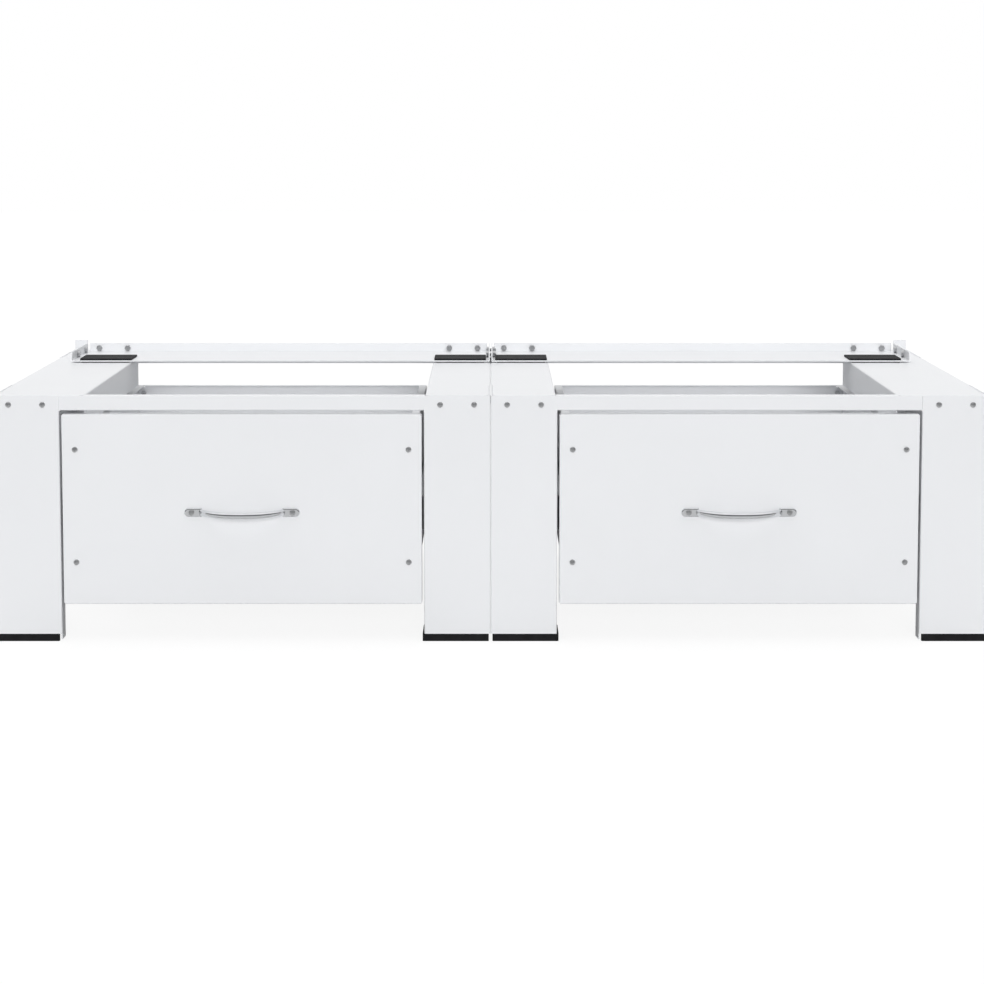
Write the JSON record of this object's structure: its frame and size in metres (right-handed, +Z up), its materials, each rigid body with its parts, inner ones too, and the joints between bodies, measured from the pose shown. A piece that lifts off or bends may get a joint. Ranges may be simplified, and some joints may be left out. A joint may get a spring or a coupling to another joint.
{
  "type": "laundry pedestal",
  "caption": "Low white steel pedestal that lifts a washer and a dryer side by side, with an open deck, anti-slip pads and drawers on telescopic rails with bow handles.",
  "frame": {"origin": "middle of the bounding box, on the floor under the feet", "axes": "+X runs to the right along the front as someone facing it sees it, +Y runs from the drawer fronts to the back, +Z is up"},
  "size_m": [1.2676, 0.572, 0.33],
  "materials": {
    "white_paint": "satin powder coat",
    "rail_steel": "bright zinc, rolled",
    "zinc_steel": "bright zinc",
    "chrome": "polished",
    "black_rubber": "matt"
  },
  "bodies": {
    "frame": {"left_front_outer_leg": "white_paint", "left_front_inner_leg": "white_paint", "left_rear_outer_leg": "white_paint", "left_rear_inner_leg": "white_paint", "left_front_feet": "black_rubber", "left_rear_feet": "black_rubber", "left_outer_channel": "white_paint", "left_inner_channel": "white_paint", "left_front_beam": "white_paint", "left_rear_beam": "white_paint", "left_machine_tray": "white_paint", "left_outer_pad": "black_rubber", "left_inner_pad": "black_rubber", "left_frame_screws": "zinc_steel", "left_tray_bolts": "zinc_steel", "left_outer_cabinet_rail": "rail_steel", "left_inner_cabinet_rail": "rail_steel", "right_front_outer_leg": "white_paint", "right_front_inner_leg": "white_paint", "right_rear_outer_leg": "white_paint", "right_rear_inner_leg": "white_paint", "right_front_feet": "black_rubber", "right_rear_feet": "black_rubber", "right_outer_channel": "white_paint", "right_inner_channel": "white_paint", "right_front_beam": "white_paint", "right_rear_beam": "white_paint", "right_machine_tray": "white_paint", "right_outer_pad": "black_rubber", "right_inner_pad": "black_rubber", "right_frame_screws": "zinc_steel", "right_tray_bolts": "zinc_steel", "right_outer_cabinet_rail": "rail_steel", "right_inner_cabinet_rail": "rail_steel", "joining_bolts": "zinc_steel"},
    "left_drawer": {"left_outer_drawer_rail": "rail_steel", "left_inner_drawer_rail": "rail_steel", "left_drawer_front": "white_paint", "left_drawer_outer_side": "white_paint", "left_drawer_inner_side": "white_paint", "left_drawer_back": "white_paint", "left_drawer_bottom": "white_paint", "left_drawer_screws": "zinc_steel", "left_handle": "chrome", "left_handle_screws": "zinc_steel"},
    "left_middle_rails": {"left_outer_middle_rail": "rail_steel", "left_inner_middle_rail": "rail_steel"},
    "right_drawer": {"right_outer_drawer_rail": "rail_steel", "right_inner_drawer_rail": "rail_steel", "right_drawer_front": "white_paint", "right_drawer_outer_side": "white_paint", "right_drawer_inner_side": "white_paint", "right_drawer_back": "white_paint", "right_drawer_bottom": "white_paint", "right_drawer_screws": "zinc_steel", "right_handle": "chrome", "right_handle_screws": "zinc_steel"},
    "right_middle_rails": {"right_outer_middle_rail": "rail_steel", "right_inner_middle_rail": "rail_steel"}
  },
  "joints": [
    {"name": "left_drawer_slide", "type": "slide", "parent": "frame", "child": "left_drawer", "axis": [0, -1, 0], "range_m": [0, 0.4]},
    {"name": "left_rail_slide", "type": "slide", "parent": "frame", "child": "left_middle_rails", "axis": [0, -1, 0], "range_m": [0, 0.2]},
    {"name": "right_drawer_slide", "type": "slide", "parent": "frame", "child": "right_drawer", "axis": [0, -1, 0], "range_m": [0, 0.4]},
    {"name": "right_rail_slide", "type": "slide", "parent": "frame", "child": "right_middle_rails", "axis": [0, -1, 0], "range_m": [0, 0.2]}
  ],
  "couplings": [
    {"joint": "left_rail_slide", "follows": "left_drawer_slide", "ratio": 0.5},
    {"joint": "right_rail_slide", "follows": "right_drawer_slide", "ratio": 0.5}
  ]
}
